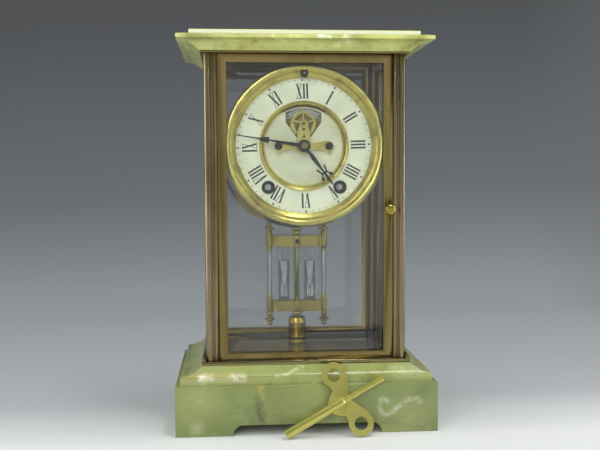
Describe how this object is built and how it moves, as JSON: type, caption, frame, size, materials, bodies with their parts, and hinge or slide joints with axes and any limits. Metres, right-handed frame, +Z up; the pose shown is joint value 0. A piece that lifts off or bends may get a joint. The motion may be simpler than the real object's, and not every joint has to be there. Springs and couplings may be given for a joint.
{
  "type": "crystal regulator mantel clock",
  "caption": "Four-glass mantel clock in a brass case on an onyx base, with a visible escapement, a mercury pendulum, hinged front and back doors and a leaning winding key.",
  "frame": {"origin": "under the middle of the whole, the leaning key included, on the surface it stands on", "axes": "+Z up, dial facing -Y, +X to the right as one faces the dial"},
  "size_m": [0.1986, 0.159, 0.3035],
  "materials": {
    "onyx": "polished green onyx with amber and white veins",
    "pale_onyx": "polished pale yellow-green onyx with cream and amber patches",
    "aged_brass": "aged, olive-brown",
    "glass": "clear, bevelled",
    "gilt_brass": "gilt, polished",
    "enamel": "fired white enamel, slightly green",
    "plate_brass": "brushed, dull",
    "blued_steel": "blued almost black, polished",
    "steel": "bright",
    "spring_steel": "tempered blue-grey",
    "mercury": "liquid mirror",
    "agate": "polished, dark brown"
  },
  "bodies": {
    "case": {"onyx_base": "onyx", "base_moulding": "pale_onyx", "onyx_top": "pale_onyx", "case_floor": "aged_brass", "case_top_frame": "aged_brass", "post_front_left": "aged_brass", "post_front_right": "aged_brass", "post_back_left": "aged_brass", "post_back_right": "aged_brass", "side_glass_left": "glass", "side_glass_right": "glass", "floor_boss": "gilt_brass", "dial_bezel": "gilt_brass", "dial_sight_ring": "gilt_brass", "escapement_bridge": "gilt_brass", "winding_key": "gilt_brass", "dial_chapter_ring": "enamel", "dial_centre": "enamel", "dial_plate": "plate_brass", "movement_front_plate": "plate_brass", "movement_back_plate": "plate_brass", "suspension_cock": "plate_brass", "winding_ferrule_time": "blued_steel", "winding_ferrule_strike": "blued_steel", "time_mainspring": "spring_steel", "strike_mainspring": "spring_steel", "gong_coil": "spring_steel", "gong_block": "spring_steel"},
    "front_door": {"front_door_frame": "aged_brass", "front_door_glass": "glass"},
    "front_latch": {"front_door_knob": "aged_brass"},
    "back_door": {"back_door_frame": "aged_brass", "back_door_glass": "glass"},
    "back_latch": {"back_door_knob": "aged_brass"},
    "pendulum": {"pendulum_rod": "steel", "pendulum_upper_bar": "gilt_brass", "pendulum_lower_bar": "gilt_brass", "pendulum_side_rod_left": "gilt_brass", "pendulum_side_rod_right": "gilt_brass", "mercury_tube_left": "glass", "mercury_tube_right": "glass", "mercury_left": "mercury", "mercury_right": "mercury"},
    "rating_nut": {"rating_nut": "gilt_brass"},
    "anchor": {"anchor": "steel", "pallet_left": "agate", "pallet_right": "agate"},
    "escape_wheel": {"escape_wheel": "gilt_brass"},
    "minute_arbor": {"minute_hand": "blued_steel", "centre_wheel": "plate_brass"},
    "hour_hand": {"hour_hand": "blued_steel"},
    "minute_wheel": {"minute_wheel": "plate_brass"},
    "third_wheel": {"third_wheel": "plate_brass"},
    "second_wheel": {"second_wheel": "plate_brass"},
    "time_great_wheel": {"time_great_wheel": "plate_brass"},
    "strike_great_wheel": {"strike_great_wheel": "plate_brass"},
    "time_winding_arbor": {"time_winding_arbor": "steel"},
    "strike_winding_arbor": {"strike_winding_arbor": "steel"},
    "regulator_arbor": {"regulator_arbor": "steel"},
    "hammer": {"hammer": "steel"}
  },
  "joints": [
    {"name": "front_door_hinge", "type": "hinge", "parent": "case", "child": "front_door", "pos_m": [-0.0647, -0.05097, 0.17], "axis": [0, 0, -1], "range_deg": [0, 105]},
    {"name": "front_latch_turn", "type": "hinge", "parent": "front_door", "child": "front_latch", "pos_m": [0.064, -0.04797, 0.169], "axis": [0, 1, 0], "range_deg": [0, 90]},
    {"name": "back_door_hinge", "type": "hinge", "parent": "case", "child": "back_door", "pos_m": [0.0647, 0.06503, 0.17], "axis": [0, 0, -1], "range_deg": [0, 105]},
    {"name": "back_latch_turn", "type": "hinge", "parent": "back_door", "child": "back_latch", "pos_m": [-0.064, 0.06203, 0.169], "axis": [0, -1, 0], "range_deg": [0, 90]},
    {"name": "pendulum_swing", "type": "hinge", "parent": "case", "child": "pendulum", "pos_m": [0, 0.04503, 0.2484], "axis": [0, 1, 0], "range_deg": [-3, 3]},
    {"name": "rating_nut_turn", "type": "hinge", "parent": "pendulum", "child": "rating_nut", "pos_m": [0, 0.04503, 0.0761], "axis": [0, 0, 1], "continuous": true},
    {"name": "anchor_rock", "type": "hinge", "parent": "case", "child": "anchor", "pos_m": [0, -0.02697, 0.2484], "axis": [0, 1, 0], "range_deg": [-3, 3]},
    {"name": "escape_wheel_spin", "type": "hinge", "parent": "case", "child": "escape_wheel", "pos_m": [0, -0.02897, 0.2354], "axis": [0, 1, 0], "continuous": true},
    {"name": "minute_hand_turn", "type": "hinge", "parent": "case", "child": "minute_arbor", "pos_m": [0, -0.03297, 0.2178], "axis": [0, 1, 0], "continuous": true},
    {"name": "hour_hand_turn", "type": "hinge", "parent": "case", "child": "hour_hand", "pos_m": [0, -0.03897, 0.2178], "axis": [0, 1, 0], "continuous": true},
    {"name": "minute_wheel_turn", "type": "hinge", "parent": "case", "child": "minute_wheel", "pos_m": [0, -0.02597, 0.2034], "axis": [0, 1, 0], "continuous": true},
    {"name": "third_wheel_spin", "type": "hinge", "parent": "case", "child": "third_wheel", "pos_m": [0.01278, -0.00297, 0.22824], "axis": [0, 1, 0], "continuous": true},
    {"name": "second_wheel_spin", "type": "hinge", "parent": "case", "child": "second_wheel", "pos_m": [-0.01751, -0.01697, 0.21365], "axis": [0, 1, 0], "continuous": true},
    {"name": "time_great_wheel_spin", "type": "hinge", "parent": "case", "child": "time_great_wheel", "pos_m": [-0.0278, -0.01897, 0.186], "axis": [0, 1, 0], "continuous": true},
    {"name": "strike_great_wheel_spin", "type": "hinge", "parent": "case", "child": "strike_great_wheel", "pos_m": [0.0278, -0.01897, 0.186], "axis": [0, 1, 0], "continuous": true},
    {"name": "time_winding", "type": "hinge", "parent": "case", "child": "time_winding_arbor", "pos_m": [-0.0278, -0.03297, 0.186], "axis": [0, 1, 0], "continuous": true},
    {"name": "strike_winding", "type": "hinge", "parent": "case", "child": "strike_winding_arbor", "pos_m": [0.0278, -0.03297, 0.186], "axis": [0, 1, 0], "continuous": true},
    {"name": "regulator_turn", "type": "hinge", "parent": "case", "child": "regulator_arbor", "pos_m": [0, -0.03297, 0.2724], "axis": [0, 1, 0], "continuous": true},
    {"name": "hammer_lift", "type": "hinge", "parent": "case", "child": "hammer", "pos_m": [0.036, 0.03503, 0.2258], "axis": [0, 1, 0], "range_deg": [0, 15]}
  ],
  "couplings": [
    {"joint": "anchor_rock", "follows": "pendulum_swing", "ratio": 1},
    {"joint": "hour_hand_turn", "follows": "minute_hand_turn", "ratio": 0.083333},
    {"joint": "minute_wheel_turn", "follows": "minute_hand_turn", "ratio": -0.33333},
    {"joint": "third_wheel_spin", "follows": "minute_hand_turn", "ratio": -10},
    {"joint": "second_wheel_spin", "follows": "minute_hand_turn", "ratio": -0.25},
    {"joint": "time_great_wheel_spin", "follows": "minute_hand_turn", "ratio": 0.041667}
  ]
}
